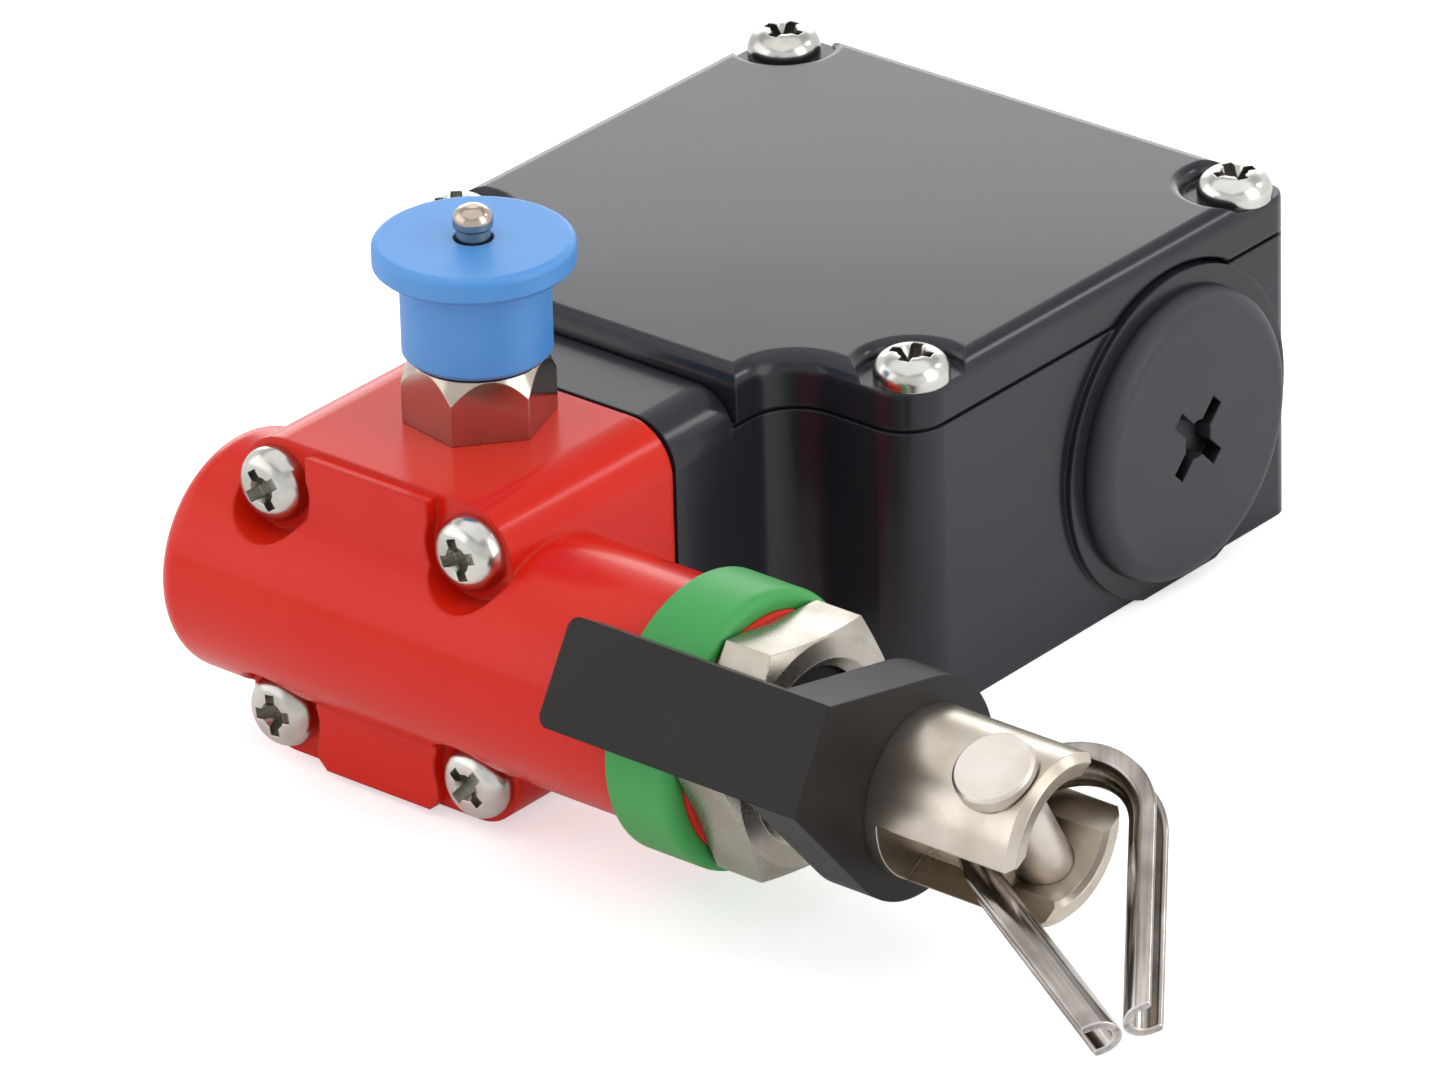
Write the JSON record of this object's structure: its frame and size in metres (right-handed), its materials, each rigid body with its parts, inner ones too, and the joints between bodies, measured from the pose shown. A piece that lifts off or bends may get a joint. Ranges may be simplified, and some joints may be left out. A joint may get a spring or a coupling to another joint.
{
  "type": "rope pull switch",
  "caption": "Safety rope pull switch: die-cast wiring box with screwed cover and conduit plugs, side-pull head with tension pointer, fork and rope eye, and a lift-to-reset knob.",
  "frame": {"origin": "centre of the four mounting holes, on the flat back face", "axes": "+Z away from the mounting surface towards the cover and the reset knob, +X along the pull of the rope, +Y from the operating head into the housing"},
  "size_m": [0.1419, 0.1217, 0.0606],
  "materials": {
    "housing_enamel": "semi-gloss",
    "cover_enamel": "semi-gloss",
    "head_enamel": "gloss",
    "seal_rubber": "matt",
    "plug_plastic": "satin",
    "zinc_screw": "bright zinc",
    "nickel": "nickel plated",
    "shaft_brass": "bright",
    "spring_steel": "oiled",
    "thimble_steel": "galvanised",
    "ring_green": "satin",
    "pointer_black": "matt",
    "knob_blue": "satin",
    "block_black": "moulded",
    "carriage_cream": "moulded",
    "contact_brass": "bright"
  },
  "bodies": {
    "switch_body": {"housing": "housing_enamel", "cover": "cover_enamel", "cover_gasket": "seal_rubber", "cover_screws": "zinc_screw", "entry_plug_right": "plug_plastic", "entry_plug_left": "plug_plastic", "plug_seals": "seal_rubber", "head_casing": "head_enamel", "head_gasket": "seal_rubber", "head_screws": "zinc_screw", "tension_ring": "ring_green", "end_bush": "nickel", "shaft_wiper": "seal_rubber", "shaft_spring": "spring_steel", "plunger_guide": "contact_brass", "reset_nut": "nickel", "reset_spring": "spring_steel", "contact_base": "block_black", "fixed_contacts": "contact_brass", "terminal_screws": "zinc_screw", "block_screws": "zinc_screw", "carriage_spring": "spring_steel", "earth_clamp": "contact_brass", "earth_screw": "contact_brass"},
    "puller": {"pull_shaft": "shaft_brass", "spring_seat": "spring_steel", "shaft_circlip": "spring_steel", "tension_pointer": "pointer_black", "rope_fork": "nickel", "fork_pin": "nickel"},
    "thimble": {"rope_thimble": "thimble_steel"},
    "plunger": {"cam_plunger": "spring_steel", "contact_carriage": "carriage_cream", "contact_bridges": "contact_brass"},
    "reset": {"reset_knob": "knob_blue", "reset_stem": "nickel", "stem_clip": "spring_steel"}
  },
  "joints": [
    {"name": "pull_slide", "type": "slide", "parent": "switch_body", "child": "puller", "axis": [1, 0, 0], "range_m": [0, 0.015], "stiffness_N_per_m": 6000, "springref_m": -0.01, "deforming": ["shaft_spring"]},
    {"name": "thimble_swing", "type": "hinge", "parent": "puller", "child": "thimble", "pos_m": [0.0789, -0.06484, 0.01903], "axis": [0, -0.4939, 0.8695], "range_deg": [-50, 95]},
    {"name": "plunger_slide", "type": "slide", "parent": "switch_body", "child": "plunger", "axis": [0, 1, 0], "range_m": [0, 0.0019], "deforming": ["carriage_spring"]},
    {"name": "reset_slide", "type": "slide", "parent": "switch_body", "child": "reset", "axis": [0, 0, 1], "range_m": [0, 0.005], "stiffness_N_per_m": 1500, "springref_m": -0.003, "deforming": ["reset_spring"]}
  ],
  "couplings": [
    {"joint": "plunger_slide", "follows": "pull_slide", "ratio": 0.125}
  ]
}
